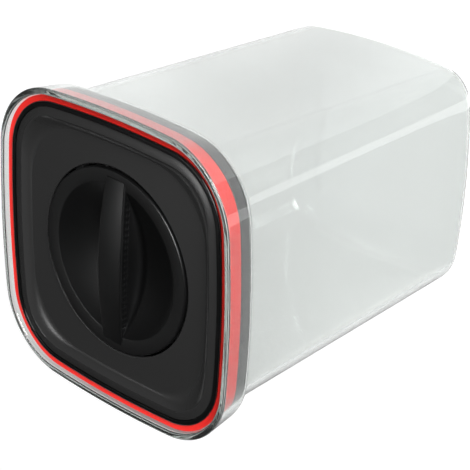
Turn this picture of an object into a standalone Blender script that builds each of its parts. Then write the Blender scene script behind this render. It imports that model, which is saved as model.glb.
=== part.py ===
"""Airtight food container: a clear square canister with a lid that a dial locks.

Lengths are in millimetres and angles in degrees. The canister stands on its base at z = 0 and the
dial turns about the vertical line x = y = 0. The lid drops into the collar and rests on its ledge.
A quarter turn of the dial lifts the pressure plate, which squeezes the red seal against the collar.
"""

import math

import bmesh
import bpy
from mathutils import Matrix, Vector

MM = 0.001

# Gaps between pieces
REST_GAP = 0.3
SLIDE_GAP = 0.4

# Canister
HEIGHT = 158.0
RIM_HALF = 60.6
RIM_CORNER = 30.6
SIDE_BOW = 420.6
COLLAR_DEPTH = 15.0
COLLAR_DRAFT = 2.0
COLLAR_WALL = 2.6
RIM_ROUND = 0.9
LEDGE_RISE = 0.8
SHOULDER_STEP = 5.1
SHOULDER_DROP = 1.8
SHOULDER_ROUND = 1.0
BODY_CORNER = 20.0
BODY_WALL = 2.4
BASE_HALF = 49.5
BASE_CORNER = 15.2
BASE_BOW = 330.0
BASE_ROUND = 8.0
BASE_INNER_ROUND = 3.0
BASE_FLOOR = 2.8
FOOT_WIDTH = 5.5
FOOT_SLOPE = 6.0
STACK_RECESS = 0.6

# Seal
SEAL_HEIGHT = 6.3
SEAL_STEP = 3.2
SEAL_ROUND = 0.6
SEAL_LIP_ROUND = 0.3
SEAL_FLARE = 0.6

# Lid frame
FRAME_REVEAL = 2.75
FLANGE_EDGE = 0.8
FLANGE_OVERHANG = 0.5
FLANGE_ROUND = 0.4
BAND_WIDTH = 1.9
BAND_SLOPE = 0.2
POCKET_DEPTH = 2.2
SKIRT_INSET = 2.1
FRAME_WALL = 1.6
FRAME_FLOOR = 1.5
CUP_MARGIN = 1.4

# Lid panel
CREST_DROP = 0.1
CREST_ROUND = 0.35
CREST_WIDTH = 3.5
CREST_FALL = 0.3
COVE_WIDTH = 3.7
COVE_DROP = 2.2
COVE_CORNER = 12.0
PANEL_THICKNESS = 1.5
PANEL_SCREW_OUT = 34.0
PANEL_BOSS_RADIUS = 3.2

# Dial
DIAL_RADIUS = 36.5
DIAL_GAP = 0.8
DIAL_PROUD = 0.7
DIAL_EDGE_ROUND = 0.5
RING_WIDTH = 5.8
RING_FALL = 0.35
RING_THICKNESS = 1.5
DISH_DEPTH = 6.95
DISH_WALL = 1.2
DIAL_SKIRT_INSET = 3.1
DIAL_SKIRT_WALL = 1.6
SPINDLE_RADIUS = 4.1

# Grip bar
BAR_TURN = -2.2
BAR_HALF_MIDDLE = 6.25
BAR_HALF_END = 5.15
BAR_CROWN = 2.3
BAR_EDGE_ROUND = 0.7
BAR_FOOT_SPREAD = 3.0
RIB_PITCH = 2.5
RIB_DEPTH = 0.3
RIB_HEIGHT = 2.4
RIB_REACH = 25.0

# Cam ring and pressure plate
LOCK_TURN = 90.0
LOCK_RISE = 1.6
CAM_COUNT = 3
TRACK_WIDTH = 2.6
TRACK_THICKNESS = 1.2
STOP_TURN = 3.0
STOP_EDGE = 0.3
STOP_RISE = 0.8
LUG_TURN = 8.0
LUG_THICKNESS = 1.6
LUG_START = 3.6
ARM_THICKNESS = 2.0
GLIDE_THICKNESS = 0.5
PLATE_RIM_HEIGHT = 4.9
PLATE_WEB = 1.4
TAB_RADIUS = 2.8
POST_RADIUS = 2.6
TAB_THICKNESS = 1.5

# Pivot
BUSH_WALL = 1.5
BUSH_FLANGE = 1.0
BUSH_FLANGE_WIDTH = 2.4
HUB_WALL = 1.5
WASHER_THICKNESS = 0.8
WASHER_RADIUS = 7.5

# Hub cap and its ring seal
CAP_WALL = 2.3
CAP_FLOOR = 1.4
CAP_LIP = 2.2
CAP_SEAL_SECTION = 1.1

# Screws
PIVOT_SCREW_RADIUS = 1.5
PIVOT_SCREW_GRIP = 8.0
PIVOT_HEAD_RADIUS = 3.2
PIVOT_HEAD_HEIGHT = 1.2
PANEL_SCREW_RADIUS = 1.0
PANEL_HEAD_RADIUS = 2.1
CAM_SCREW_RADIUS = 0.9
CAM_HEAD_RADIUS = 1.9
CAM_HEAD_HEIGHT = 1.0

# Mesh fineness
SIDE_STEPS = 4
CORNER_STEPS = 6
ROUND_SPACING = 2.0
COVE_STEPS = 4
DISH_STEPS = 7
TURN_STEPS = 48
SMALL_STEPS = 12
TRACK_STEP = 10.0

# Heights, from the ledge up and from the panel down
COLLAR_BACK_Z = HEIGHT - COLLAR_DEPTH
LEDGE_Z = COLLAR_BACK_Z + LEDGE_RISE
SHOULDER_Z = COLLAR_BACK_Z - SHOULDER_DROP
PLATE_BOTTOM = LEDGE_Z + REST_GAP
PLATE_RIM_TOP = PLATE_BOTTOM + PLATE_RIM_HEIGHT
SEAL_BOTTOM = PLATE_RIM_TOP + REST_GAP
SEAL_TOP = SEAL_BOTTOM + SEAL_HEIGHT
FLANGE_UNDER = SEAL_TOP + REST_GAP
FRAME_TOP = FLANGE_UNDER + FLANGE_EDGE
BAND_INNER_Z = FRAME_TOP - BAND_SLOPE
POCKET_Z = BAND_INNER_Z - POCKET_DEPTH
SHELF_UNDER = SEAL_BOTTOM + SEAL_STEP + REST_GAP
CREST_Z = FRAME_TOP - CREST_DROP
PANEL_Z = CREST_Z - COVE_DROP
PANEL_UNDER = PANEL_Z - PANEL_THICKNESS
RING_Z = PANEL_Z + DIAL_PROUD
BAR_TOP_Z = RING_Z + BAR_CROWN
WELL_TOP_Z = RING_Z - RING_FALL
DISH_Z = WELL_TOP_Z - DISH_DEPTH
DISH_UNDER = DISH_Z - DISH_WALL
RING_UNDER = RING_Z - RING_THICKNESS
LUG_TOP = PANEL_UNDER - SLIDE_GAP - LOCK_RISE
LUG_BOTTOM = LUG_TOP - LUG_THICKNESS
TRACK_RATE = LOCK_RISE / LOCK_TURN
TRACK_END = LUG_START + LUG_TURN + LOCK_TURN + LUG_START - STOP_TURN
TRACK_Z = LUG_BOTTOM - REST_GAP
TRACK_LOW = TRACK_Z - TRACK_RATE * (LUG_START + LUG_TURN)
TRACK_STOP_Z = TRACK_Z + LOCK_RISE + STOP_RISE
CAM_BOTTOM = TRACK_LOW - TRACK_THICKNESS
CAM_TOP = TRACK_STOP_Z + REST_GAP
GLIDE_TOP = CAM_BOTTOM - REST_GAP
CUP_FLOOR_Z = GLIDE_TOP - GLIDE_THICKNESS - REST_GAP
CUP_UNDER = CUP_FLOOR_Z - FRAME_FLOOR
PLATE_CUP_Z = CUP_UNDER - REST_GAP - LOCK_RISE
PLATE_CUP_UNDER = PLATE_CUP_Z - PLATE_WEB
PLATE_WEB_Z = PLATE_BOTTOM + PLATE_WEB
TRAY_UNDER = PLATE_WEB_Z + LOCK_RISE + REST_GAP
TRAY_Z = TRAY_UNDER + FRAME_FLOOR
HUB_Z = DISH_UNDER - REST_GAP - BUSH_FLANGE - REST_GAP
HUB_UNDER = HUB_Z - FRAME_FLOOR
SPINDLE_END = HUB_UNDER - 2 * REST_GAP
WASHER_TOP = SPINDLE_END - REST_GAP
PIVOT_HEAD_TOP = WASHER_TOP - WASHER_THICKNESS - REST_GAP
CAP_FLOOR_Z = PIVOT_HEAD_TOP - PIVOT_HEAD_HEIGHT - REST_GAP - LOCK_RISE
CAP_UNDER = CAP_FLOOR_Z - CAP_FLOOR
PLATE_HUB_UNDER = CAP_FLOOR_Z + REST_GAP

# Half widths of the square pieces, from the rim inwards
COLLAR_BACK_HALF = RIM_HALF - COLLAR_DRAFT
COLLAR_SLOPE = COLLAR_DRAFT / COLLAR_DEPTH
SHOULDER_HALF = COLLAR_BACK_HALF - SHOULDER_STEP
COLLAR_INNER_HALF = RIM_HALF - COLLAR_WALL
LEDGE_HALF = SHOULDER_HALF - BODY_WALL
FRAME_HALF = COLLAR_INNER_HALF - FRAME_REVEAL
LIP_HALF = FRAME_HALF - FLANGE_OVERHANG
POCKET_HALF = FRAME_HALF - BAND_WIDTH
SKIRT_HALF = POCKET_HALF - SKIRT_INSET
SKIRT_INNER_HALF = SKIRT_HALF - FRAME_WALL
PANEL_HALF = POCKET_HALF - SLIDE_GAP
CREST_HALF = PANEL_HALF - CREST_WIDTH
COVE_HALF = CREST_HALF - COVE_WIDTH
PLATE_RIM_HALF = SKIRT_HALF + SLIDE_GAP

# Radii of the round pieces, from the dial outwards and inwards
PANEL_HOLE = DIAL_RADIUS + DIAL_GAP
WELL_RADIUS = DIAL_RADIUS - RING_WIDTH
SKIRT_RADIUS = DIAL_RADIUS - DIAL_SKIRT_INSET
SKIRT_BORE = SKIRT_RADIUS - DIAL_SKIRT_WALL
TRACK_RADIUS = SKIRT_RADIUS + TRACK_WIDTH
LUG_INNER = SKIRT_RADIUS + 2 * REST_GAP
ARM_INNER = TRACK_RADIUS + SLIDE_GAP
ARM_OUTER = ARM_INNER + ARM_THICKNESS
CUP_RADIUS = ARM_OUTER + CUP_MARGIN
CUP_OUTER = CUP_RADIUS + FRAME_WALL
PLATE_CUP_RADIUS = CUP_OUTER + SLIDE_GAP
PLATE_CUP_OUTER = PLATE_CUP_RADIUS + FRAME_WALL
TAB_RING = SKIRT_BORE - CAM_HEAD_RADIUS - REST_GAP
BUSH_BORE = SPINDLE_RADIUS + REST_GAP
BUSH_RADIUS = BUSH_BORE + BUSH_WALL
HUB_BORE = BUSH_RADIUS + REST_GAP
BUSH_FLANGE_RADIUS = BUSH_RADIUS + BUSH_FLANGE_WIDTH
HUB_RECESS = BUSH_FLANGE_RADIUS + REST_GAP
HUB_RADIUS = HUB_RECESS + HUB_WALL
CAP_BORE = HUB_RADIUS + SLIDE_GAP
CAP_RADIUS = CAP_BORE + CAP_WALL
PLATE_HUB_BORE = CAP_RADIUS + 2 * REST_GAP
CAP_FLANGE_RADIUS = PLATE_HUB_BORE + CAP_LIP
DISH_CURVE = (WELL_RADIUS ** 2 + DISH_DEPTH ** 2) / (2 * DISH_DEPTH)


def collar_inner_half(z):
    """Half width inside the collar, which leans in by the collar's draft."""
    return COLLAR_INNER_HALF - (HEIGHT - z) * COLLAR_SLOPE


def dish_height(radius):
    """Height of the dial's dished top at a distance from its axis."""
    return DISH_Z + DISH_CURVE - math.sqrt(DISH_CURVE ** 2 - radius ** 2)


def clear_scene():
    for scene_object in list(bpy.data.objects):
        bpy.data.objects.remove(scene_object)


def plastic(name, colour, roughness, metallic=0.0, alpha=1.0):
    """A Principled material in one of the object's finishes."""
    material = bpy.data.materials.new(name)
    material.use_nodes = True
    shader = material.node_tree.nodes["Principled BSDF"]
    shader.inputs["Base Color"].default_value = (*colour, 1.0)
    shader.inputs["Roughness"].default_value = roughness
    shader.inputs["Metallic"].default_value = metallic
    shader.inputs["Alpha"].default_value = alpha
    material.diffuse_color = (*colour, alpha)
    return material


def square_outline(half, corner, bow):
    """A square with bowed sides and round corners, counter-clockwise from one side's middle."""
    bow_centre = bow - half
    corner_centre = (math.sqrt(2 * (bow - corner) ** 2 - bow_centre ** 2) - bow_centre) / 2
    join = math.atan2(corner_centre, corner_centre + bow_centre)
    quarter = []
    for step in range(SIDE_STEPS // 2):
        angle = join * step / (SIDE_STEPS // 2)
        quarter.append(Vector((bow * math.cos(angle) - bow_centre, bow * math.sin(angle))))
    for step in range(CORNER_STEPS + 1):
        angle = join + (math.pi / 2 - 2 * join) * step / CORNER_STEPS
        arc = Vector((math.cos(angle), math.sin(angle))) * corner
        quarter.append(arc + Vector((corner_centre, corner_centre)))
    for step in reversed(range(1, SIDE_STEPS // 2)):
        angle = join * step / (SIDE_STEPS // 2)
        quarter.append(Vector((bow * math.sin(angle), bow * math.cos(angle) - bow_centre)))
    outline = []
    for turn in range(4):
        outline += [Matrix.Rotation(turn * math.pi / 2, 2) @ point for point in quarter]
    return outline


def lid_outline(half):
    """The rim's outline moved inwards, as every square piece of the lid follows it."""
    inset = RIM_HALF - half
    return square_outline(half, RIM_CORNER - inset, SIDE_BOW - inset)


def round_outline(radius):
    """A circle whose points lie on the same rays as the points of a square outline."""
    return [radius * point.normalized() for point in lid_outline(COVE_HALF)]


def even_circle(radius, steps):
    return [Vector((radius * math.cos(math.tau * step / steps), radius * math.sin(math.tau * step / steps)))
            for step in range(steps)]


def rounded(path):
    """Rounds the corners of a path; each corner is a list of coordinates and its fillet."""
    points = []
    for index, (corner, fillet) in enumerate(path):
        here = Vector(corner)
        if fillet == 0 or index in (0, len(path) - 1):
            points.append(here)
            continue
        before = Vector(path[index - 1][0])
        after = Vector(path[index + 1][0])
        start = here.lerp(before, fillet / (here - before).xy.length)
        end = here.lerp(after, fillet / (here - after).xy.length)
        steps = max(2, round(fillet / ROUND_SPACING))
        for step in range(steps + 1):
            share = step / steps
            points.append(start.lerp(here, share).lerp(here.lerp(end, share), share))
    return points


def lid_sections(path):
    """Square rings of the lid along a path of half widths and heights with fillets."""
    corners = [((half, z, 0.0), fillet) for half, z, fillet in path]
    return [[point.to_3d() + Vector((0, 0, z)) for point in lid_outline(half)]
            for half, z, _ in rounded(corners)]


def round_sections(path):
    return [[point.to_3d() + Vector((0, 0, z)) for point in round_outline(radius)] for radius, z in path]


def skin(bm, rings, closed=False):
    """Joins equal rings with faces. A ring of one point is a pole; open ends are capped."""
    loops = [[bm.verts.new(point * MM) for point in ring] for ring in rings]
    pairs = list(zip(loops, loops[1:]))
    if closed:
        pairs.append((loops[-1], loops[0]))
    for near, far in pairs:
        count = max(len(near), len(far))
        for index in range(count):
            following = (index + 1) % count
            corners = [near[index % len(near)], near[following % len(near)],
                       far[following % len(far)], far[index % len(far)]]
            bm.faces.new(list(dict.fromkeys(corners)))
    if not closed:
        for end in (loops[0], loops[-1]):
            if len(end) > 2:
                bm.faces.new(end)


def turned(bm, profile, steps, centre=(0.0, 0.0), closed=False):
    """Turns a profile of radii and heights about a vertical line."""
    rings = []
    for radius, z in profile:
        if radius == 0:
            rings.append([Vector((*centre, z))])
        else:
            rings.append([Vector((centre[0] + point.x, centre[1] + point.y, z))
                          for point in even_circle(radius, steps)])
    skin(bm, rings, closed)


def cylinder(bm, radius, bottom, top, steps, centre=(0.0, 0.0)):
    turned(bm, [(0, bottom), (radius, bottom), (radius, top), (0, top)], steps, centre)


def ring(bm, bore, radius, bottom, top, steps):
    turned(bm, [(bore, bottom), (radius, bottom), (radius, top), (bore, top)], steps, closed=True)


def swept(bm, sections, closed=False):
    """Joins sections of radii and heights that stand at angles round the axis."""
    rings = []
    for angle, section in sections:
        ray = Vector((math.cos(math.radians(angle)), math.sin(math.radians(angle)), 0))
        rings.append([ray * radius + Vector((0, 0, z)) for radius, z in section])
    skin(bm, rings, closed)


def make_mesh(name, bm, material):
    bmesh.ops.recalc_face_normals(bm, faces=bm.faces)
    mesh = bpy.data.meshes.new(name)
    bm.to_mesh(mesh)
    bm.free()
    mesh.materials.append(material)
    mesh.shade_smooth()
    mesh.set_sharp_from_angle(angle=math.radians(35))
    return mesh


def add_object(name, bm, material):
    piece = bpy.data.objects.new(name, make_mesh(name, bm, material))
    bpy.context.scene.collection.objects.link(piece)
    return piece


def add_copies(name, bm, material, places):
    """One object at each place, all with the same mesh."""
    mesh = make_mesh(name, bm, material)
    copies = []
    for number, place in enumerate(places, 1):
        piece = bpy.data.objects.new(f"{name}_{number}", mesh)
        piece.location = Vector((*place, 0)) * MM
        bpy.context.scene.collection.objects.link(piece)
        copies.append(piece)
    return copies


def add_group(name, pieces):
    """An empty on the dial's axis that carries the pieces that move together."""
    group = bpy.data.objects.new(name, None)
    group.empty_display_size = RIM_HALF * MM
    bpy.context.scene.collection.objects.link(group)
    for piece in pieces:
        piece.parent = group
    return group


def apply_tool(piece, bm, operation):
    """Joins a mesh to a piece, or cuts it away, with a Boolean modifier and a hidden guide."""
    label = f"{piece.name}_{operation.lower()}_{len(piece.modifiers)}"
    guide = add_object(label, bm, piece.data.materials[0])
    guide.hide_render = True
    guide.display_type = "WIRE"
    modifier = piece.modifiers.new(label, "BOOLEAN")
    modifier.operation = operation
    modifier.object = guide


def around(count, radius, start=0.0):
    """Evenly spaced places on a circle."""
    angles = [math.radians(start) + math.tau * index / count for index in range(count)]
    return [(radius * math.cos(angle), radius * math.sin(angle)) for angle in angles]


def panel_screw_places():
    return [(x * PANEL_SCREW_OUT, y * PANEL_SCREW_OUT) for x in (-1, 1) for y in (-1, 1)]


def tab_places():
    """The cam ring's screw tabs stand halfway along each track."""
    return around(CAM_COUNT, TAB_RING, 180 / CAM_COUNT)


def cam_bore_top():
    """The dial's screw holes end inside the wall of its dish."""
    return dish_height(TAB_RING - CAM_SCREW_RADIUS - REST_GAP) - DISH_WALL / 2


def build_canister(material):
    inner_base = BASE_HALF - BODY_WALL
    collar_inner_back = collar_inner_half(LEDGE_Z)
    foot = BASE_HALF - BASE_ROUND - FOOT_WIDTH
    ledge_corner = RIM_CORNER - (RIM_HALF - collar_inner_back)
    foot_corner = BASE_CORNER - BASE_ROUND
    path = [
        ((foot - FOOT_SLOPE, STACK_RECESS, foot_corner, BASE_BOW), 0),
        ((foot, 0, foot_corner, BASE_BOW), 0),
        ((BASE_HALF, 0, BASE_CORNER, BASE_BOW), BASE_ROUND),
        ((SHOULDER_HALF, SHOULDER_Z, BODY_CORNER, SIDE_BOW), SHOULDER_ROUND),
        ((COLLAR_BACK_HALF, COLLAR_BACK_Z, RIM_CORNER - COLLAR_DRAFT, SIDE_BOW), SHOULDER_ROUND),
        ((RIM_HALF, HEIGHT, RIM_CORNER, SIDE_BOW), RIM_ROUND),
        ((COLLAR_INNER_HALF, HEIGHT, RIM_CORNER - COLLAR_WALL, SIDE_BOW), RIM_ROUND),
        ((collar_inner_back, LEDGE_Z, ledge_corner, SIDE_BOW), SHOULDER_ROUND / 2),
        ((LEDGE_HALF, LEDGE_Z, BODY_CORNER - BODY_WALL, SIDE_BOW), SHOULDER_ROUND),
        ((inner_base, BASE_FLOOR, BASE_CORNER - BODY_WALL, BASE_BOW), BASE_INNER_ROUND),
        ((inner_base - BASE_ROUND, BASE_FLOOR, foot_corner, BASE_BOW), 0),
    ]
    rings = []
    for half, z, corner, bow in rounded(path):
        rings.append([point.to_3d() + Vector((0, 0, z)) for point in square_outline(half, corner, bow)])
    bm = bmesh.new()
    skin(bm, rings)
    return add_object("canister", bm, material)


def build_seal(material):
    """A red ring with a thick foot under the frame's shelf and a lip that rises beside its flange."""
    lip_inner = LIP_HALF + REST_GAP
    foot_inner = SKIRT_HALF + REST_GAP
    step_z = SEAL_BOTTOM + SEAL_STEP
    flare_z = SEAL_TOP + SEAL_FLARE
    path = [
        (foot_inner, SEAL_BOTTOM, 0),
        (foot_inner, step_z, 0),
        (lip_inner, step_z, 0),
        (lip_inner, SEAL_TOP, 0),
        (FRAME_HALF, SEAL_TOP, 0),
        (collar_inner_half(flare_z) - SLIDE_GAP, flare_z, SEAL_LIP_ROUND),
        (collar_inner_half(SEAL_BOTTOM) - SLIDE_GAP, SEAL_BOTTOM, SEAL_ROUND),
        ((foot_inner + COLLAR_INNER_HALF) / 2, SEAL_BOTTOM, 0),
    ]
    bm = bmesh.new()
    skin(bm, lid_sections(path), closed=True)
    return add_object("seal", bm, material)


def build_lid_frame(material):
    """The outer black moulding: visible band, skirt inside the seal, and a cupped tray."""
    inner = round_sections([(HUB_BORE, HUB_Z), (HUB_RECESS, HUB_Z), (HUB_RECESS, CUP_FLOOR_Z),
                            (CUP_RADIUS, CUP_FLOOR_Z), (CUP_RADIUS, TRAY_Z)])
    outer = lid_sections([
        (SKIRT_INNER_HALF, TRAY_Z, 0),
        (SKIRT_INNER_HALF, POCKET_Z - FRAME_WALL, 0),
        (SKIRT_HALF, POCKET_Z, 0),
        (POCKET_HALF, POCKET_Z, 0),
        (POCKET_HALF, BAND_INNER_Z, 0),
        (FRAME_HALF, FRAME_TOP, FLANGE_ROUND),
        (FRAME_HALF, FLANGE_UNDER, 0),
        (LIP_HALF, FLANGE_UNDER, 0),
        (LIP_HALF, SHELF_UNDER, 0),
        (SKIRT_HALF, SHELF_UNDER, 0),
        (SKIRT_HALF, TRAY_UNDER, 0),
    ])
    under = round_sections([(CUP_OUTER, TRAY_UNDER), (CUP_OUTER, CUP_UNDER), (HUB_RADIUS, CUP_UNDER),
                            (HUB_RADIUS, HUB_UNDER), (HUB_BORE, HUB_UNDER)])
    bm = bmesh.new()
    skin(bm, inner + outer + under, closed=True)
    frame = add_object("lid_frame", bm, material)

    windows = bmesh.new()
    margin = math.degrees(SLIDE_GAP / ARM_INNER)
    window = [(ARM_INNER - SLIDE_GAP, CUP_UNDER - 1), (ARM_OUTER + SLIDE_GAP, CUP_UNDER - 1),
              (ARM_OUTER + SLIDE_GAP, CUP_FLOOR_Z + 1), (ARM_INNER - SLIDE_GAP, CUP_FLOOR_Z + 1)]
    for index in range(CAM_COUNT):
        start = index * 360 / CAM_COUNT + LUG_START - margin
        middle = start + margin + LUG_TURN / 2
        end = start + 2 * margin + LUG_TURN
        swept(windows, [(start, window), (middle, window), (end, window)])
    apply_tool(frame, windows, "DIFFERENCE")

    countersinks = bmesh.new()
    wide = PANEL_HEAD_RADIUS + REST_GAP
    narrow = PANEL_SCREW_RADIUS + REST_GAP
    for place in panel_screw_places():
        turned(countersinks, [(0, TRAY_UNDER - 1), (wide, TRAY_UNDER - 1), (wide, TRAY_UNDER),
                              (narrow, TRAY_Z), (narrow, TRAY_Z + 1), (0, TRAY_Z + 1)], SMALL_STEPS, place)
    apply_tool(frame, countersinks, "DIFFERENCE")
    return frame


def build_lid_panel(material):
    """The recessed top: a rounded crest, a cove that widens at the corners, a floor and the dial's hole."""
    path = [
        (PANEL_HALF - FRAME_WALL - SLIDE_GAP, POCKET_Z + REST_GAP, 0),
        (PANEL_HALF, POCKET_Z + REST_GAP, 0),
        (PANEL_HALF, CREST_Z - CREST_FALL, CREST_ROUND),
        (PANEL_HALF - CREST_WIDTH / 2, CREST_Z - CREST_FALL / 4, 0),
        (CREST_HALF, CREST_Z, 0),
    ]
    skirt_clear = SKIRT_INNER_HALF - SLIDE_GAP
    rings = lid_sections(path)
    for step in range(1, COVE_STEPS + 1):
        share = step / COVE_STEPS
        half = CREST_HALF - COVE_WIDTH * share
        inset = RIM_HALF - half
        outline = square_outline(half, RIM_CORNER - inset + COVE_CORNER * share, SIDE_BOW - inset)
        z = PANEL_Z + COVE_DROP * (1 - share) ** 2
        rings.append([point.to_3d() + Vector((0, 0, z)) for point in outline])
    rings += round_sections([(PANEL_HOLE + CREST_ROUND, PANEL_Z), (PANEL_HOLE, PANEL_Z - CREST_ROUND),
                             (PANEL_HOLE, PANEL_UNDER)])
    rings += lid_sections([(skirt_clear, PANEL_UNDER, 0)])
    bm = bmesh.new()
    skin(bm, rings, closed=True)
    panel = add_object("lid_panel", bm, material)

    bosses = bmesh.new()
    holes = bmesh.new()
    bore = PANEL_SCREW_RADIUS + REST_GAP
    for place in panel_screw_places():
        cylinder(bosses, PANEL_BOSS_RADIUS, TRAY_Z + REST_GAP, PANEL_UNDER + CREST_ROUND, SMALL_STEPS, place)
        cylinder(holes, bore, TRAY_Z, PANEL_UNDER, SMALL_STEPS, place)
    apply_tool(panel, bosses, "UNION")
    apply_tool(panel, holes, "DIFFERENCE")
    return panel


def build_panel_screws(material):
    """Countersunk screws that come up through the tray into the panel's bosses."""
    tip = PANEL_UNDER - REST_GAP
    bm = bmesh.new()
    turned(bm, [(0, TRAY_UNDER), (PANEL_HEAD_RADIUS, TRAY_UNDER), (PANEL_SCREW_RADIUS, TRAY_Z),
                (PANEL_SCREW_RADIUS, tip - PANEL_SCREW_RADIUS), (0, tip)], SMALL_STEPS)
    return add_copies("panel_screw", bm, material, panel_screw_places())


def bar_half(y):
    """Half width of the grip bar, widest in the middle."""
    return BAR_HALF_END + (BAR_HALF_MIDDLE - BAR_HALF_END) * (1 - (y / WELL_RADIUS) ** 2)


def bar_section(y, cut):
    """Cross-section of the grip bar at y, with its flanks cut in by the depth of a groove."""
    half = bar_half(y)
    top = BAR_TOP_Z - BAR_CROWN * (y / SKIRT_RADIUS) ** 2
    drop = top - dish_height(min(math.hypot(half, y), WELL_RADIUS))
    rib_top = top - 2 * BAR_EDGE_ROUND
    rib_bottom = rib_top - max(0.0, min(RIB_HEIGHT, drop - BAR_FOOT_SPREAD / 2))
    low = rib_bottom - RIB_DEPTH
    spread = BAR_FOOT_SPREAD * min(1.0, drop / DISH_DEPTH)
    flank = [(half - BAR_EDGE_ROUND, top), (half, top - BAR_EDGE_ROUND), (half - cut, rib_top),
             (half - cut, rib_bottom), (half, low)]
    for share in (0.4, 0.7, 1.0):
        x = half + spread * share ** 2
        surface = dish_height(min(math.hypot(x, y), WELL_RADIUS)) - DISH_WALL / 2
        flank.append((x, surface + (low - surface) * (1 - share) ** 2))
    under = dish_height(min(abs(y), WELL_RADIUS)) - DISH_WALL / 2
    flank.append((half, min(under, flank[-1][1] - DISH_WALL / 4)))
    left = [Vector((-x, y, z)) for x, z in flank]
    right = [Vector((x, y, z)) for x, z in reversed(flank)]
    return left + right


def build_bar():
    """The grip bar, whose flanks go in and out between its ribs."""
    reach = (WELL_RADIUS + SKIRT_RADIUS) / 2
    rib_count = int(RIB_REACH / RIB_PITCH)
    ribs_end = rib_count * RIB_PITCH
    stations = [(-reach, 0), (-WELL_RADIUS, 0), (-(WELL_RADIUS + ribs_end) / 2, 0)]
    for index in range(-rib_count, rib_count):
        stations += [(index * RIB_PITCH, 0), ((index + 0.5) * RIB_PITCH, RIB_DEPTH)]
    stations += [(ribs_end, 0), ((WELL_RADIUS + ribs_end) / 2, 0), (WELL_RADIUS, 0), (reach, 0)]
    turn = Matrix.Rotation(math.radians(BAR_TURN), 3, "Z")
    bm = bmesh.new()
    skin(bm, [[turn @ point for point in bar_section(y, cut)] for y, cut in stations])
    return bm


def build_dial(material):
    """A dished knob with a raised ring, two half-moon wells and a ribbed bar between them."""
    edge = DIAL_EDGE_ROUND
    skirt_end = CAM_TOP + REST_GAP
    lip = WELL_RADIUS - edge
    radii = [lip * step / DISH_STEPS for step in range(DISH_STEPS + 1)]
    top = [(radius, dish_height(radius)) for radius in radii]
    top += [(WELL_RADIUS, WELL_TOP_Z - edge / 2), (WELL_RADIUS + edge, WELL_TOP_Z),
            (DIAL_RADIUS - edge, RING_Z), (DIAL_RADIUS, RING_Z - edge)]
    under = [(DIAL_RADIUS, RING_UNDER), (SKIRT_RADIUS, RING_UNDER), (SKIRT_RADIUS, skirt_end),
             (SKIRT_BORE, skirt_end), (SKIRT_BORE, RING_UNDER)]
    hollow = [(radius, dish_height(radius) - DISH_WALL) for radius in reversed(radii[:-1])]
    bm = bmesh.new()
    turned(bm, top + under + hollow, TURN_STEPS)
    dial = add_object("dial", bm, material)
    apply_tool(dial, build_bar(), "UNION")

    post_bottom = skirt_end + REST_GAP
    post_top = dish_height(TAB_RING - POST_RADIUS) - DISH_WALL / 2
    spindle_top = DISH_Z - DISH_WALL / 2
    fixings = bmesh.new()
    cylinder(fixings, SPINDLE_RADIUS, SPINDLE_END, spindle_top, SMALL_STEPS * 2)
    for place in tab_places():
        cylinder(fixings, POST_RADIUS, post_bottom, post_top, SMALL_STEPS, place)
    apply_tool(dial, fixings, "UNION")

    holes = bmesh.new()
    pivot_end = PIVOT_HEAD_TOP + PIVOT_SCREW_GRIP + 2 * REST_GAP
    cylinder(holes, PIVOT_SCREW_RADIUS + REST_GAP, SPINDLE_END - 1, pivot_end, SMALL_STEPS)
    for place in tab_places():
        cylinder(holes, CAM_SCREW_RADIUS + REST_GAP, skirt_end - 1, cam_bore_top(), SMALL_STEPS, place)
    apply_tool(dial, holes, "DIFFERENCE")
    return dial


def build_cam_ring(material):
    """The ring under the dial whose rising tracks lift the plate's lugs, with a stop at each end."""
    pitch = 360 / CAM_COUNT
    span = TRACK_END - STOP_TURN - 2 * STOP_EDGE
    steps = round(span / TRACK_STEP)
    stations = []
    for index in range(CAM_COUNT):
        start = index * pitch
        stations += [(start, TRACK_STOP_Z), (start + STOP_TURN, TRACK_STOP_Z)]
        for step in range(steps + 1):
            along = STOP_TURN + STOP_EDGE + span * step / steps
            stations.append((start + along, TRACK_Z + TRACK_RATE * (along - LUG_START - LUG_TURN)))
        stations += [(start + TRACK_END, TRACK_STOP_Z), (start + (TRACK_END + pitch) / 2, TRACK_STOP_Z)]
    sections = []
    for angle, z in stations:
        sections.append((angle, [(SKIRT_BORE, CAM_BOTTOM), (TRACK_RADIUS, CAM_BOTTOM), (TRACK_RADIUS, z),
                                 (SKIRT_RADIUS, z), (SKIRT_RADIUS, CAM_TOP), (SKIRT_BORE, CAM_TOP)]))
    bm = bmesh.new()
    swept(bm, sections, closed=True)
    cam = add_object("cam_ring", bm, material)

    tabs = bmesh.new()
    holes = bmesh.new()
    tab_top = CAM_TOP - REST_GAP
    tab_under = tab_top - TAB_THICKNESS
    bore = CAM_SCREW_RADIUS + REST_GAP
    for place in tab_places():
        cylinder(tabs, TAB_RADIUS, tab_under, tab_top, SMALL_STEPS, place)
        cylinder(holes, bore, tab_under - 1, tab_top + 1, SMALL_STEPS, place)
    apply_tool(cam, tabs, "UNION")
    apply_tool(cam, holes, "DIFFERENCE")
    return cam


def build_cam_screws(material):
    head_top = CAM_TOP - REST_GAP - TAB_THICKNESS - REST_GAP
    tip = cam_bore_top() - REST_GAP
    bm = bmesh.new()
    turned(bm, [(0, head_top - CAM_HEAD_HEIGHT), (CAM_HEAD_RADIUS, head_top - CAM_HEAD_HEIGHT),
                (CAM_HEAD_RADIUS, head_top), (CAM_SCREW_RADIUS, head_top),
                (CAM_SCREW_RADIUS, tip - CAM_SCREW_RADIUS), (0, tip)], SMALL_STEPS)
    return add_copies("cam_screw", bm, material, tab_places())


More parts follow.
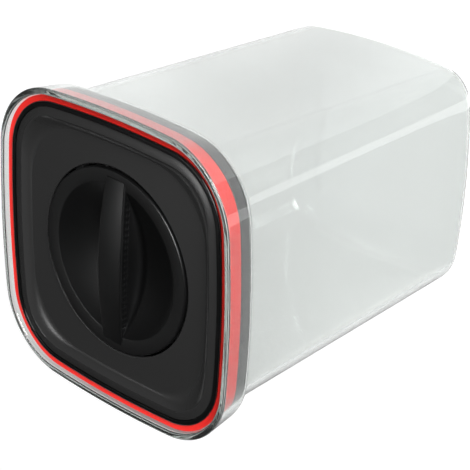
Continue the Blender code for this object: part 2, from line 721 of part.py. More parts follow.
def build_glide_ring(material):
    """A thin slippery ring between the cam ring and the tray's cup."""
    bm = bmesh.new()
    bottom = GLIDE_TOP - GLIDE_THICKNESS
    ring(bm, SKIRT_BORE, TRACK_RADIUS - SLIDE_GAP, bottom, GLIDE_TOP, TURN_STEPS)
    return add_object("glide_ring", bm, material)


def build_pivot_bush(material):
    flange_bottom = HUB_Z + REST_GAP
    bm = bmesh.new()
    turned(bm, [(BUSH_BORE, HUB_UNDER), (BUSH_RADIUS, HUB_UNDER), (BUSH_RADIUS, flange_bottom),
                (BUSH_FLANGE_RADIUS, flange_bottom), (BUSH_FLANGE_RADIUS, flange_bottom + BUSH_FLANGE),
                (BUSH_BORE, flange_bottom + BUSH_FLANGE)], SMALL_STEPS * 2, closed=True)
    return add_object("pivot_bush", bm, material)


def build_pivot_washer(material):
    bore = PIVOT_SCREW_RADIUS + REST_GAP
    bottom = WASHER_TOP - WASHER_THICKNESS
    bm = bmesh.new()
    ring(bm, bore, WASHER_RADIUS, bottom, WASHER_TOP, SMALL_STEPS * 2)
    return add_object("pivot_washer", bm, material)


def build_pivot_screw(material):
    tip = PIVOT_HEAD_TOP + PIVOT_SCREW_GRIP
    bottom = PIVOT_HEAD_TOP - PIVOT_HEAD_HEIGHT
    bm = bmesh.new()
    turned(bm, [(0, bottom), (PIVOT_HEAD_RADIUS - 0.4, bottom), (PIVOT_HEAD_RADIUS, bottom + 0.4),
                (PIVOT_HEAD_RADIUS, PIVOT_HEAD_TOP), (PIVOT_SCREW_RADIUS, PIVOT_HEAD_TOP),
                (PIVOT_SCREW_RADIUS, tip - PIVOT_SCREW_RADIUS), (0, tip)], SMALL_STEPS)
    return add_object("pivot_screw", bm, material)


def build_pressure_plate(material):
    """The black plate below the seal, with a cup in its middle and arms that hook on the cam ring."""
    hub_outer = PLATE_HUB_BORE + HUB_WALL
    top = round_sections([(PLATE_HUB_BORE, PLATE_CUP_Z), (PLATE_CUP_RADIUS, PLATE_CUP_Z),
                          (PLATE_CUP_RADIUS, PLATE_WEB_Z)])
    rim = lid_sections([
        (PLATE_RIM_HALF, PLATE_WEB_Z, 0),
        (PLATE_RIM_HALF, PLATE_RIM_TOP, 0),
        (collar_inner_half(PLATE_RIM_TOP) - 2 * REST_GAP, PLATE_RIM_TOP, SEAL_ROUND),
        (collar_inner_half(PLATE_BOTTOM) - SLIDE_GAP, PLATE_BOTTOM, SEAL_ROUND),
        (PLATE_RIM_HALF, PLATE_BOTTOM, 0),
    ])
    under = round_sections([(PLATE_CUP_OUTER, PLATE_BOTTOM), (PLATE_CUP_OUTER, PLATE_CUP_UNDER),
                            (hub_outer, PLATE_CUP_UNDER), (hub_outer, PLATE_HUB_UNDER),
                            (PLATE_HUB_BORE, PLATE_HUB_UNDER)])
    bm = bmesh.new()
    skin(bm, top + rim + under, closed=True)
    plate = add_object("pressure_plate", bm, material)

    root = (PLATE_CUP_Z + PLATE_CUP_UNDER) / 2
    hook = [(ARM_INNER, root), (ARM_OUTER, root), (ARM_OUTER, LUG_TOP), (LUG_INNER, LUG_TOP),
            (LUG_INNER, LUG_BOTTOM), (ARM_INNER, LUG_BOTTOM)]
    arms = bmesh.new()
    for index in range(CAM_COUNT):
        start = index * 360 / CAM_COUNT + LUG_START
        swept(arms, [(start, hook), (start + LUG_TURN / 2, hook), (start + LUG_TURN, hook)])
    apply_tool(plate, arms, "UNION")
    return plate


def build_hub_cap(material):
    """The plug that closes the plate's middle from below, with a groove for its ring seal."""
    groove_bottom = CAP_FLOOR_Z + (PLATE_CUP_Z - CAP_FLOOR_Z - CAP_SEAL_SECTION) / 2 - REST_GAP
    groove_top = groove_bottom + CAP_SEAL_SECTION + 2 * REST_GAP
    groove_radius = CAP_RADIUS + REST_GAP - CAP_SEAL_SECTION
    rim_z = PLATE_CUP_Z - REST_GAP
    bm = bmesh.new()
    turned(bm, [(0, CAP_FLOOR_Z), (CAP_BORE, CAP_FLOOR_Z), (CAP_BORE, rim_z), (CAP_RADIUS, rim_z),
                (CAP_RADIUS, groove_top), (groove_radius - REST_GAP, groove_top),
                (groove_radius - REST_GAP, groove_bottom), (CAP_RADIUS, groove_bottom),
                (CAP_RADIUS, CAP_FLOOR_Z), (CAP_FLANGE_RADIUS, CAP_FLOOR_Z),
                (CAP_FLANGE_RADIUS, CAP_UNDER + SEAL_ROUND),
                (CAP_FLANGE_RADIUS - SEAL_ROUND, CAP_UNDER), (0, CAP_UNDER)], SMALL_STEPS * 2)
    return add_object("hub_cap", bm, material)


def build_cap_seal(material):
    middle = CAP_FLOOR_Z + (PLATE_CUP_Z - CAP_FLOOR_Z) / 2
    radius = CAP_SEAL_SECTION / 2
    centre = PLATE_HUB_BORE - REST_GAP - radius
    profile = [(centre + point.x, middle + point.y) for point in even_circle(radius, SMALL_STEPS)]
    bm = bmesh.new()
    turned(bm, profile, SMALL_STEPS * 2, closed=True)
    return add_object("cap_seal", bm, material)


def main():
    clear_scene()
    clear = plastic("clear_plastic", (0.80, 0.84, 0.81), 0.05, alpha=0.3)
    red = plastic("red_silicone", (0.80, 0.03, 0.03), 0.45)
    black = plastic("black_plastic", (0.022, 0.023, 0.024), 0.35)
    dial_black = plastic("dial_plastic", (0.020, 0.021, 0.022), 0.42)
    inner_black = plastic("inner_plastic", (0.03, 0.03, 0.03), 0.5)
    natural = plastic("slippery_plastic", (0.82, 0.81, 0.77), 0.4)
    steel = plastic("steel", (0.62, 0.62, 0.64), 0.3, metallic=1.0)

    build_canister(clear)
    lid = [build_seal(red), build_lid_frame(black), build_lid_panel(black), *build_panel_screws(steel),
           build_glide_ring(natural), build_pivot_bush(natural)]
    turning = [build_dial(dial_black), build_cam_ring(inner_black), *build_cam_screws(steel),
               build_pivot_washer(steel), build_pivot_screw(steel)]
    rising = [build_pressure_plate(inner_black), build_hub_cap(inner_black), build_cap_seal(red)]
    lid.append(add_group("dial_axis", turning))
    lid.append(add_group("plate_axis", rising))
    add_group("lid_axis", lid)


main()
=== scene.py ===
"""Airtight food container: finished surfaces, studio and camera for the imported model.

Sizes are in metres, as Blender's length properties hold them. The container stands on z = 0 and the
dial turns about x = y = 0. The camera is rolled, so that the picture shows the container lying down.
"""

import math

import bmesh
import bpy
from bpy.props import FloatProperty, FloatVectorProperty, IntProperty, PointerProperty
from mathutils import Matrix, Vector


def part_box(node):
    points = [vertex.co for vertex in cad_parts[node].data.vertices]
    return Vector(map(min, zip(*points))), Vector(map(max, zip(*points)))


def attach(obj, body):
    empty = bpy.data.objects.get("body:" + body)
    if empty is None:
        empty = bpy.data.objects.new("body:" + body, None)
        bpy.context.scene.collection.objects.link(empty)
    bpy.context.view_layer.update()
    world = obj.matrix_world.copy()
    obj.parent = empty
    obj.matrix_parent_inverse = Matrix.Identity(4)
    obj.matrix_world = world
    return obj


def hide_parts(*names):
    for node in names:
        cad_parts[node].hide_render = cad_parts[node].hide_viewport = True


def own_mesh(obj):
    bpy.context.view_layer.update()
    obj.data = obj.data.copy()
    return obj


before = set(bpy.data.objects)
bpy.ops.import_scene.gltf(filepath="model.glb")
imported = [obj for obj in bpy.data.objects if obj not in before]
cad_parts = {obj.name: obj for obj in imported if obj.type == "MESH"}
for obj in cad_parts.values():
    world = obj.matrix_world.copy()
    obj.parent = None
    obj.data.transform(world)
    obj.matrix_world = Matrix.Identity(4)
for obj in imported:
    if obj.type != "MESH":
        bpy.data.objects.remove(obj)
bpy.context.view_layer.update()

bl_info = {
    "name": "Airtight Food Container",
    "version": (1, 0, 0),
    "blender": (4, 5, 0),
    "location": "View3D > Sidebar > Container",
    "description": "Builds the finished surfaces of a clear food container with a twist lock lid",
    "category": "Object",
}

MM = 0.001

# Walls and fits of the lid's mouldings.
FIT = 0.0003  # air between mouldings that fit together
SHEET = 0.0015  # thickness of the flat parts and of the hubs
WALL = 0.0016  # thickness of the upright walls
PLATE_SHEET = 0.0014  # thickness of the pressure plate's flat parts
DISH_SHEET = 0.0012  # thickness of the dial under its dished face
DIAL_OVERHANG = 0.0031  # how far the dial's ring reaches past the skirt below it
CUP_FILLET = 0.0006
COLLAR_AIR = 0.0004  # air between the collar and the foot of the seal or the plate

# The three hooks of the pressure plate, in degrees round the dial's axis.
LUG_ANGLES = (3.6, 123.6, 243.6)
LUG_SPAN = 8
LUG_PLAY = 0.7

# A rib's groove down the ribbed strip: share of the strip's height, share of the groove's depth.
RIB_PROFILE = ((0.06, 1.0), (0.44, 1.0), (0.5, 0.35), (0.56, 1.0), (0.94, 1.0), (1.0, 0.0))

# How finely curves are stepped.
FILLET_STEP = 0.0004
WALL_RING_SPACING = 0.012
CREST_STEPS = 12
COVE_STEPS = 16
DISH_STEPS = 40
HOLLOW_STEPS = 16
DIAL_STEPS = 160
BOSS_STEPS = 32
RIB_STEPS = 8
BAR_ROUND_STEPS = 5
BAR_FOOT_STEPS = 10
SHARP_ANGLE = math.radians(32)

# Surfaces of the studio that are seen only in gloss and through the clear plastic.
HIDDEN_FROM = ("camera", "diffuse", "shadow")


def length(name, description, millimetres):
    return FloatProperty(name=name, description=description, default=millimetres * MM,
                         unit="LENGTH", precision=5)


def colour(name, description, value):
    return FloatVectorProperty(name=name, description=description, default=value, size=3,
                               min=0.0, max=1.0, subtype="COLOR")


class ContainerSquare(bpy.types.PropertyGroup):
    """The square outline that the rim, the collar and the lid share"""

    height: length("Height", "Height of the canister's rim above the table", 158.0)
    rim_half: length("Rim half width", "Half the width across the rim", 60.6)
    rim_corner: length("Rim corner", "Corner radius of the rim seen from above", 30.6)
    side_bow: length("Side bow", "Radius of the bowed sides at the rim", 420.6)
    side_steps: IntProperty(name="Side steps", description="Faces along each bowed side",
                            default=20, min=2)
    corner_steps: IntProperty(name="Corner steps", description="Faces round each corner",
                              default=24, min=2)


class ContainerCanister(bpy.types.PropertyGroup):
    """Sizes of the clear canister"""

    collar_depth: length("Collar depth", "Height of the wider collar", 15.0)
    collar_draft: length("Collar draft", "How far the collar leans in over its depth", 2.0)
    collar_wall: length("Collar wall", "Wall thickness at the rim", 2.6)
    rim_round: length("Rim round", "Radius of the rounded top edge", 0.9)
    ledge_rise: length("Ledge rise", "Ledge height above the collar's lower edge", 0.8)
    shoulder_step: length("Shoulder step", "How far the body stands in from the collar", 5.1)
    shoulder_drop: length("Shoulder drop", "Height of the sloping shoulder", 1.8)
    body_corner: length("Body corner", "Corner radius of the body below the collar", 20.0)
    body_wall: length("Body wall", "Wall thickness of the body", 2.4)
    base_half: length("Base half width", "Half the width of the base", 49.5)
    base_corner: length("Base corner", "Corner radius of the base", 15.2)
    base_bow: length("Base bow", "Radius of the bowed sides at the base", 330.0)
    base_round: length("Base round", "Radius of the edge round the base", 8.0)
    base_inner_round: length("Base inner round", "Radius of the edge round the floor inside", 3.0)
    base_floor: length("Base floor", "Thickness of the floor", 2.8)
    foot_width: length("Foot width", "Width of the ring that it stands on", 5.5)
    foot_slope: length("Foot slope", "Width of the slope from the foot to the recess", 6.0)
    stack_recess: length("Stack recess", "Depth of the recess under the base", 0.6)


class ContainerLid(bpy.types.PropertyGroup):
    """Sizes of the black lid, its red seal and the pressure plate"""

    frame_half: length("Frame half width", "Half width of the black frame", 55.25)
    frame_top: length("Frame top", "Height of the frame's edge", 156.7)
    band_width: length("Band width", "Width of the raised band", 1.9)
    band_slope: length("Band slope", "Fall of the band towards the middle", 0.03)
    pocket_depth: length("Pocket depth", "Depth of the frame's pocket for the panel", 2.4)
    groove: length("Groove", "Width of the gap between the band and the panel", 0.2)
    panel_top: length("Panel top", "Height of the flat of the panel", 154.4)
    crest_top: length("Crest top", "Height of the panel's crest", 156.6)
    crest_width: length("Crest width", "Width of the panel's crest", 3.5)
    crest_fall: length("Crest fall", "Fall of the rounded crest towards its outer edge", 0.3)
    cove_width: length("Cove width", "Width of the hollow round the panel", 3.7)
    cove_corner: length("Cove corner", "How much rounder the hollow's corners are at its foot", 12.0)
    hole_radius: length("Hole radius", "Radius of the hole for the dial", 37.3)
    seal_top: length("Seal top", "Height of the seal beside the frame", 155.6)
    seal_flare: length("Seal flare", "Rise of the seal's lip towards the collar", 0.6)
    seal_bottom: length("Seal bottom", "Height of the seal's lower edge", 149.3)
    plate_bottom: length("Plate bottom", "Height of the pressure plate's lower edge", 144.1)
    plate_top: length("Plate top", "Height of the pressure plate's rim", 149.0)


class ContainerDial(bpy.types.PropertyGroup):
    """Sizes of the dial and its grip bar"""

    radius: length("Dial radius", "Outer radius of the ring", 36.5)
    ring_top: length("Ring top", "Height of the ring's face at its outer edge", 155.1)
    ring_width: length("Ring width", "Width of the ring's face", 5.8)
    ring_fall: length("Ring fall", "Fall of the ring's face towards the wells", 0.35)
    edge_round: length("Edge round", "Radius of the ring's edges", 0.55)
    dish_depth: length("Dish depth", "Depth of the dish in its middle", 6.95)
    bar_middle: length("Bar middle", "Half width of the bar in its middle", 6.25)
    bar_end: length("Bar end", "Half width of the bar at its ends", 5.15)
    bar_crown: length("Bar crown", "Rise of the bar's arch above the ring", 2.3)
    bar_round: length("Bar round", "Radius of the bar's upper edges", 0.7)
    bar_foot: length("Bar foot", "Reach of the hollow at the bar's foot", 3.0)
    bar_turn: FloatProperty(name="Bar turn", description="Angle of the bar at rest",
                            default=math.radians(-2.2), subtype="ANGLE")
    rib_pitch: length("Rib pitch", "Distance from rib to rib", 2.5)
    rib_depth: length("Rib depth", "Depth of the grooves between ribs", 0.2)
    rib_height: length("Rib height", "Height of the ribbed strip", 2.4)
    rib_reach: length("Rib reach", "Where the ribs end along the bar", 26.0)


class ContainerFinish(bpy.types.PropertyGroup):
    """Colours and gloss of the container"""

    clear: colour("Clear plastic", "Tint of the clear plastic's surface", (0.916, 0.932, 0.923))
    clear_density: FloatProperty(name="Clear density", default=25.0, min=0.0,
                                 description="Absorption of the clear plastic per metre")
    clear_depth: colour("Clear depth", "Colour that thick clear plastic takes", (0.25, 0.34, 0.29))
    red: colour("Silicone", "Colour of the seal", (0.90, 0.030, 0.024))
    black: colour("Lid black", "Colour of the lid's plastic", (0.0020, 0.0021, 0.0022))
    black_gloss: FloatProperty(name="Lid roughness", description="Roughness of the lid",
                               default=0.21, min=0.0, max=1.0)
    inner: colour("Inner black", "Colour of the hidden black mouldings", (0.022, 0.022, 0.023))
    natural: colour("Natural plastic", "Colour of the low friction parts", (0.72, 0.70, 0.64))
    steel: colour("Steel", "Colour of the screws", (0.62, 0.62, 0.63))


class ContainerStage(bpy.types.PropertyGroup):
    """Studio, floor and camera"""

    floor_colour: colour("Floor", "Colour of the floor", (0.30, 0.30, 0.30))
    floor_glow: FloatProperty(name="Floor glow", description="Own light of the floor",
                              default=0.90, min=0.0)
    floor_size: length("Floor size", "Radius of the floor", 4000.0)
    horizon: FloatProperty(name="Horizon", default=1.0,
                           description="Brightness of the studio at eye level")
    ceiling: FloatProperty(name="Ceiling", default=0.03,
                           description="Brightness of the studio overhead")
    focal: FloatProperty(name="Focal length", description="Lens in millimetres",
                         default=120.49, unit="CAMERA")


def settings(*groups):
    """The scene's property groups, by the last word of their names."""
    return [getattr(bpy.context.scene, "container_" + group) for group in groups]


def square_outline(half, corner, bow, square):
    """A square with bowed sides and round corners, counter-clockwise from one side's middle."""
    bow_centre = bow - half
    corner_centre = (math.sqrt(2 * (bow - corner) ** 2 - bow_centre ** 2) - bow_centre) / 2
    join = math.atan2(corner_centre, corner_centre + bow_centre)
    side = square.side_steps // 2
    quarter = []
    for step in range(side):
        angle = join * step / side
        quarter.append(Vector((bow * math.cos(angle) - bow_centre, bow * math.sin(angle))))
    for step in range(square.corner_steps + 1):
        angle = join + (math.pi / 2 - 2 * join) * step / square.corner_steps
        arc = Vector((math.cos(angle), math.sin(angle))) * corner
        quarter.append(arc + Vector((corner_centre, corner_centre)))
    for step in reversed(range(1, side)):
        angle = join * step / side
        quarter.append(Vector((bow * math.sin(angle), bow * math.cos(angle) - bow_centre)))
    outline = []
    for turn in range(4):
        outline += [Matrix.Rotation(turn * math.pi / 2, 2) @ point for point in quarter]
    return outline


def lid_outline(half, square):
    """The rim's outline moved inwards, as every square piece of the lid follows it."""
    inset = square.rim_half - half
    return square_outline(half, square.rim_corner - inset, square.side_bow - inset, square)


def rounded(path):
    """Rounds the corners of a path with curves; each corner is a list of values and its fillet."""
    longest = 0.9  # share of a stretch that a fillet may take
    points = []
    for index, (corner, fillet) in enumerate(path):
        here = Vector(corner)
        if fillet == 0 or index in (0, len(path) - 1):
            points.append(here)
            continue
        before = Vector(path[index - 1][0])
        after = Vector(path[index + 1][0])
        start = here.lerp(before, min(longest, fillet / (here - before).xy.length))
        end = here.lerp(after, min(longest, fillet / (here - after).xy.length))
        steps = min(12, max(4, round(fillet / FILLET_STEP)))
        for step in range(steps + 1):
            share = step / steps
            points.append(start.lerp(here, share).lerp(here.lerp(end, share), share))
    return points


def steadied(points):
    """Adds a point close to each end of a long stretch, so that smooth shading leaves it straight."""
    reach = 0.0002
    steady = [points[0]]
    for before, after in zip(points, points[1:]):
        gap = (after - before).xy.length
        if gap > 5 * reach:
            steady += [before.lerp(after, reach / gap), before.lerp(after, 1 - reach / gap)]
        steady.append(after)
    return steady


def smooth_path(path):
    """A path of half widths or radii, heights and fillets, made ready for rings."""
    return steadied(rounded([((wide, z, 0.0), fillet) for wide, z, fillet in path]))


def lid_rings(path, square):
    """Square rings of the lid along a path of half widths, heights and fillets."""
    return [[(*point, z) for point in lid_outline(half, square)]
            for half, z, _ in smooth_path(path)]


def round_rings(path, square):
    """Round rings whose points lie on the same rays as a square ring's."""
    rays = [point.normalized() for point in lid_outline(square.rim_half, square)]
    return [[(ray.x * radius, ray.y * radius, z) for ray in rays]
            for radius, z, _ in smooth_path(path)]


def circle(x, y, radius, z, steps):
    """A level ring of points about a centre."""
    angles = [math.tau * step / steps for step in range(steps)]
    return [(x + radius * math.cos(angle), y + radius * math.sin(angle), z) for angle in angles]


def skin(bm, rings, closed=False):
    """Joins rings with faces. A ring of one point is a pole; open ends are capped."""
    loops = [[bm.verts.new(point) for point in ring] for ring in rings]
    pairs = list(zip(loops, loops[1:]))
    if closed:
        pairs.append((loops[-1], loops[0]))
    for near, far in pairs:
        count = max(len(near), len(far))
        for index in range(count):
            following = (index + 1) % count
            corners = [near[index % len(near)], near[following % len(near)],
                       far[following % len(far)], far[index % len(far)]]
            bm.faces.new(list(dict.fromkeys(corners)))
    if not closed:
        for end in (loops[0], loops[-1]):
            if len(end) > 2:
                bm.faces.new(end)


def turned(bm, profile, steps):
    """Turns a profile of radii and heights about the dial's axis."""
    skin(bm, [circle(0.0, 0.0, radius, z, steps if radius else 1) for radius, z in profile])


def swept(bm, section, angles):
    """Carries a section of radii and heights round the dial's axis, through angles in degrees."""
    rings = []
    for angle in angles:
        ray = (math.cos(math.radians(angle)), math.sin(math.radians(angle)))
        rings.append([(ray[0] * radius, ray[1] * radius, z) for radius, z in section])
    skin(bm, rings)


def cut_away(piece, bm):
    """Cuts a mesh out of a piece with a Boolean modifier and a hidden guide."""
    bmesh.ops.recalc_face_normals(bm, faces=bm.faces)
    mesh = bpy.data.meshes.new(piece.name + "_cut")
    bm.to_mesh(mesh)
    bm.free()
    guide = bpy.data.objects.new(mesh.name, mesh)
    guide.hide_render = True
    guide.hide_viewport = True
    guide.display_type = "WIRE"
    bpy.context.scene.collection.objects.link(guide)
    guide.parent = piece
    modifier = piece.modifiers.new("cut", "BOOLEAN")
    modifier.operation = "DIFFERENCE"
    modifier.object = guide


def add_piece(name, bm, body, slot, material, *nodes):
    """Makes an object that rides on a body of the frame and stands for its nodes."""
    bmesh.ops.recalc_face_normals(bm, faces=bm.faces)
    mesh = bpy.data.meshes.new(name)
    bm.to_mesh(mesh)
    bm.free()
    mesh.materials.append(material)
    mesh.shade_smooth()
    mesh.set_sharp_from_angle(angle=SHARP_ANGLE)
    piece = bpy.data.objects.new(name, mesh)
    bpy.context.scene.collection.objects.link(piece)
    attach(piece, body)
    if nodes:
        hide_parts(*nodes)
    return piece


def new_material(name, base, roughness, metallic=0.0):
    """A material with an even colour and gloss, and its shader."""
    material = bpy.data.materials.new(name)
    material.use_nodes = True
    shader = material.node_tree.nodes["Principled BSDF"]
    shader.inputs["Base Color"].default_value = (*base, 1.0)
    shader.inputs["Roughness"].default_value = roughness
    shader.inputs["Metallic"].default_value = metallic
    return material, shader


def add_glow(shader, tint, strength):
    """Gives a surface its own light."""
    shader.inputs["Emission Color"].default_value = (*tint, 1.0)
    shader.inputs["Emission Strength"].default_value = strength


def add_noise(material, scale, detail, stretch=(1.0, 1.0, 1.0)):
    """A noise texture in the object's own space."""
    nodes = material.node_tree.nodes
    links = material.node_tree.links
    place = nodes.new("ShaderNodeTexCoord")
    mapping = nodes.new("ShaderNodeMapping")
    mapping.inputs["Scale"].default_value = stretch
    noise = nodes.new("ShaderNodeTexNoise")
    noise.inputs["Scale"].default_value = scale
    noise.inputs["Detail"].default_value = detail
    links.new(place.outputs["Object"], mapping.inputs["Vector"])
    links.new(mapping.outputs["Vector"], noise.inputs["Vector"])
    return noise


def add_range(material, noise, low, high, start=0.3, end=0.7):
    """Maps a noise between start and end to values between low and high."""
    spread = material.node_tree.nodes.new("ShaderNodeMapRange")
    spread.inputs["From Min"].default_value = start
    spread.inputs["From Max"].default_value = end
    spread.inputs["To Min"].default_value = low
    spread.inputs["To Max"].default_value = high
    material.node_tree.links.new(noise.outputs["Fac"], spread.inputs["Value"])
    return spread.outputs["Result"]


def add_gloss(material, shader, noise, low, high):
    """Lets the roughness wander with a noise, between low and high."""
    rough = add_range(material, noise, low, high)
    material.node_tree.links.new(rough, shader.inputs["Roughness"])


def add_bump(material, shader, source, strength, distance, below=None):
    """Raises the surface with a texture, on top of the bump below it."""
    bump = material.node_tree.nodes.new("ShaderNodeBump")
    bump.inputs["Strength"].default_value = strength
    bump.inputs["Distance"].default_value = distance
    material.node_tree.links.new(source, bump.inputs["Height"])
    if below is not None:
        material.node_tree.links.new(below.outputs["Normal"], bump.inputs["Normal"])
    material.node_tree.links.new(bump.outputs["Normal"], shader.inputs["Normal"])
    return bump


def set_ramp(ramp, *stops):
    """Sets the positions and colours of a ramp's two ends."""
    for index, (position, tint) in enumerate(stops):
        ramp.color_ramp.elements[index].position = position
        ramp.color_ramp.elements[index].color = (*tint, 1.0)


def add_mottle(material, shader, noise, base, darker, lighter):
    """Lets the colour wander with a noise, between two factors of the base colour."""
    shades = [tuple(min(1.0, channel * factor) for channel in base) for factor in (darker, lighter)]
    ramp = material.node_tree.nodes.new("ShaderNodeValToRGB")
    set_ramp(ramp, (0.3, shades[0]), (0.7, shades[1]))
    material.node_tree.links.new(noise.outputs["Fac"], ramp.inputs["Fac"])
    material.node_tree.links.new(ramp.outputs["Color"], shader.inputs["Base Color"])


def clear_plastic(finish):
    """Clear plastic that absorbs a little green-grey light, with faint flow waves and scratches."""
    material, shader = new_material("clear_plastic", finish.clear, roughness=0.03)
    shader.inputs["Transmission Weight"].default_value = 0.983
    shader.inputs["IOR"].default_value = 1.54
    waves = add_noise(material, scale=26.0, detail=2.0)
    flow = add_bump(material, shader, waves.outputs["Fac"], strength=0.05, distance=0.0008)
    scratches = add_noise(material, scale=900.0, detail=2.0, stretch=(1.0, 1.0, 0.04))
    fine = add_range(material, scratches, 0.0, 1.0, start=0.62, end=0.75)
    add_bump(material, shader, fine, strength=0.05, distance=0.00005, below=flow)
    smear = add_noise(material, scale=60.0, detail=5.0)
    add_gloss(material, shader, smear, 0.004, 0.016)
    depth = material.node_tree.nodes.new("ShaderNodeVolumeAbsorption")
    depth.inputs["Color"].default_value = (*finish.clear_depth, 1.0)
    depth.inputs["Density"].default_value = finish.clear_density
    output = material.node_tree.nodes["Material Output"]
    material.node_tree.links.new(depth.outputs["Volume"], output.inputs["Volume"])
    return material


def red_silicone(finish):
    """Soft satin silicone with a faint skin texture and slightly paler patches."""
    material, shader = new_material("red_silicone", finish.red, roughness=0.42)
    shader.inputs["Specular IOR Level"].default_value = 0.2
    shader.inputs["Subsurface Weight"].default_value = 0.08
    shader.inputs["Subsurface Radius"].default_value = (0.002, 0.0005, 0.0004)
    shader.inputs["Subsurface Scale"].default_value = 0.5
    patches = add_noise(material, scale=70.0, detail=4.0)
    add_mottle(material, shader, patches, finish.red, 0.92, 1.06)
    add_gloss(material, shader, patches, 0.36, 0.48)
    grain = add_noise(material, scale=2200.0, detail=2.0)
    add_bump(material, shader, grain.outputs["Fac"], strength=0.12, distance=0.00005)
    return material


def black_plastic(name, base, gloss):
    """Satin black moulded plastic with a fine spark-eroded grain and uneven gloss."""
    material, shader = new_material(name, base, gloss)
    cloud = add_noise(material, scale=38.0, detail=5.0)
    add_mottle(material, shader, cloud, base, 0.92, 1.08)
    add_gloss(material, shader, cloud, gloss - 0.03, gloss + 0.04)
    grain = add_noise(material, scale=2600.0, detail=3.0)
    add_bump(material, shader, grain.outputs["Fac"], strength=0.07, distance=0.00003)
    return material


def natural_plastic(finish):
    """Uncoloured low friction plastic with a soft, uneven skin."""
    material, shader = new_material("natural_plastic", finish.natural, roughness=0.42)
    cloud = add_noise(material, scale=120.0, detail=4.0)
    add_mottle(material, shader, cloud, finish.natural, 0.93, 1.05)
    add_bump(material, shader, cloud.outputs["Fac"], strength=0.08, distance=0.0001)
    return material


def steel(finish):
    """Plain stainless with fine turning marks."""
    material, shader = new_material("steel", finish.steel, roughness=0.3, metallic=1.0)
    marks = add_noise(material, scale=700.0, detail=3.0, stretch=(1.0, 1.0, 6.0))
    add_gloss(material, shader, marks, 0.22, 0.4)
    add_bump(material, shader, marks.outputs["Fac"], strength=0.15, distance=0.00005)
    return material


def collar_inner(z, square, canister):
    """Half width inside the collar at a height."""
    slope = canister.collar_draft / canister.collar_depth
    return square.rim_half - canister.collar_wall - (square.height - z) * slope


def dish_height(radius, dial):
    """Height of the dished face at a distance from the axis."""
    well = dial.radius - dial.ring_width
    curve = (well ** 2 + dial.dish_depth ** 2) / (2 * dial.dish_depth)
    floor = dial.ring_top - dial.ring_fall - dial.dish_depth
    return floor + curve - math.sqrt(curve ** 2 - min(radius, well) ** 2)


class CONTAINER_OT_canister(bpy.types.Operator):
    """Build the clear canister"""

    bl_idname = "container.canister"
    bl_label = "Canister"

    def execute(self, context):
        square, canister, finish = settings("square", "canister", "finish")
        bow, base_bow = square.side_bow, canister.base_bow
        back_z = square.height - canister.collar_depth
        back_half = square.rim_half - canister.collar_draft
        back_corner = square.rim_corner - canister.collar_draft
        ledge_z = back_z + canister.ledge_rise
        ledge_inner = collar_inner(ledge_z, square, canister)
        ledge_corner = square.rim_corner - (square.rim_half - ledge_inner)
        rim_inner = square.rim_half - canister.collar_wall
        rim_inner_corner = square.rim_corner - canister.collar_wall
        shoulder_half = back_half - canister.shoulder_step
        shoulder_z = back_z - canister.shoulder_drop
        throat = shoulder_half - canister.body_wall
        throat_corner = canister.body_corner - canister.body_wall
        base_inner = canister.base_half - canister.body_wall
        base_inner_corner = canister.base_corner - canister.body_wall
        foot = canister.base_half - canister.base_round - canister.foot_width
        foot_corner = canister.base_corner - canister.base_round
        slope_round = canister.foot_slope * 0.45
        recess = canister.stack_recess
        middle, middle_corner = 0.012, 0.006
        # Half width, height, corner radius and bow of each edge, and its fillet.
        path = [
            ((middle, recess, middle_corner, base_bow), 0),
            ((foot - canister.foot_slope, recess, foot_corner, base_bow), slope_round),
            ((foot, 0, foot_corner, base_bow), slope_round),
            ((canister.base_half, 0, canister.base_corner, base_bow), canister.base_round),
            ((shoulder_half, shoulder_z, canister.body_corner, bow), 0.0012),
            ((back_half, back_z, back_corner, bow), 0.0025),
            ((square.rim_half, square.height, square.rim_corner, bow), canister.rim_round),
            ((rim_inner, square.height, rim_inner_corner, bow), canister.rim_round),
            ((ledge_inner, ledge_z, ledge_corner, bow), 0.0006),
            ((throat, ledge_z, throat_corner, bow), 0.001),
            ((base_inner, canister.base_floor, base_inner_corner, base_bow), canister.base_inner_round),
            ((middle, canister.base_floor, middle_corner, base_bow), 0),
        ]
        rings = []
        points = steadied(rounded(path))
        for before, after in zip(points, points[1:]):
            rings.append(before)
            parts = round(abs(after[1] - before[1]) / WALL_RING_SPACING)
            for step in range(1, parts):
                rings.append(before.lerp(after, step / parts))
        rings.append(points[-1])
        bm = bmesh.new()
        skin(bm, [[(*point, z) for point in square_outline(half, corner, curve, square)]
                  for half, z, corner, curve in rings])
        material = clear_plastic(finish)
        add_piece("canister_shell", bm, "canister", "clear_plastic", material, "canister")
        return {"FINISHED"}


class CONTAINER_OT_seal(bpy.types.Operator):
    """Build the red silicone seal"""

    bl_idname = "container.seal"
    bl_label = "Seal"

    def execute(self, context):
        square, canister, lid, finish = settings("square", "canister", "lid", "finish")
        lip_air = 0.00015
        lip_z = lid.seal_top + lid.seal_flare
        outer_top = collar_inner(lip_z, square, canister) - lip_air
        outer_bottom = collar_inner(lid.seal_bottom, square, canister) - COLLAR_AIR
        lip = lid.frame_half - 0.0002
        step_z = lid.seal_bottom + 0.0032
        skirt = lid.frame_half - lid.band_width - 0.0018
        path = [
            (skirt, lid.seal_bottom, 0),
            (skirt, step_z, 0),
            (lip, step_z, 0),
            (lip, lid.seal_top, 0),
            (lid.frame_half, lid.seal_top, 0),
            (outer_top, lip_z, 0.0003),
            (outer_bottom, lid.seal_bottom, 0.0006),
            (skirt + 0.001, lid.seal_bottom, 0),
        ]
        bm = bmesh.new()
        skin(bm, lid_rings(path, square), closed=True)
        piece = add_piece("seal_ring", bm, "lid", "red_silicone", red_silicone(finish), "seal")
        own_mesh(piece)
        return {"FINISHED"}


